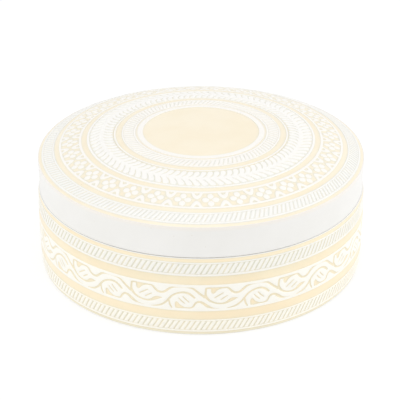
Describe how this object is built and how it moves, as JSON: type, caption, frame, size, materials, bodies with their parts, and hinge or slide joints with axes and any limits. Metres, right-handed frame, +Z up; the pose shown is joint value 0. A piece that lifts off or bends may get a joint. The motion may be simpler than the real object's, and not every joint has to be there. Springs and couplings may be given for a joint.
{
  "type": "round box",
  "caption": "Low round porcelain box: a banded body with foot ring and locating collar, and a domed lid that lifts straight off.",
  "frame": {"origin": "centre of the foot ring, on the surface that the box stands on", "axes": "+Z up along the axis of the box, the way the lid lifts; -Y towards the front of the picture"},
  "size_m": [0.13, 0.13, 0.0532],
  "materials": {
    "glazed_porcelain": "gloss"
  },
  "bodies": {
    "body": {"box_body": "glazed_porcelain"},
    "lid": {"lid": "glazed_porcelain"}
  },
  "joints": [
    {"name": "lid_lift", "type": "slide", "parent": "body", "child": "lid", "axis": [0, 0, 1], "range_m": [0, 0.06]}
  ]
}
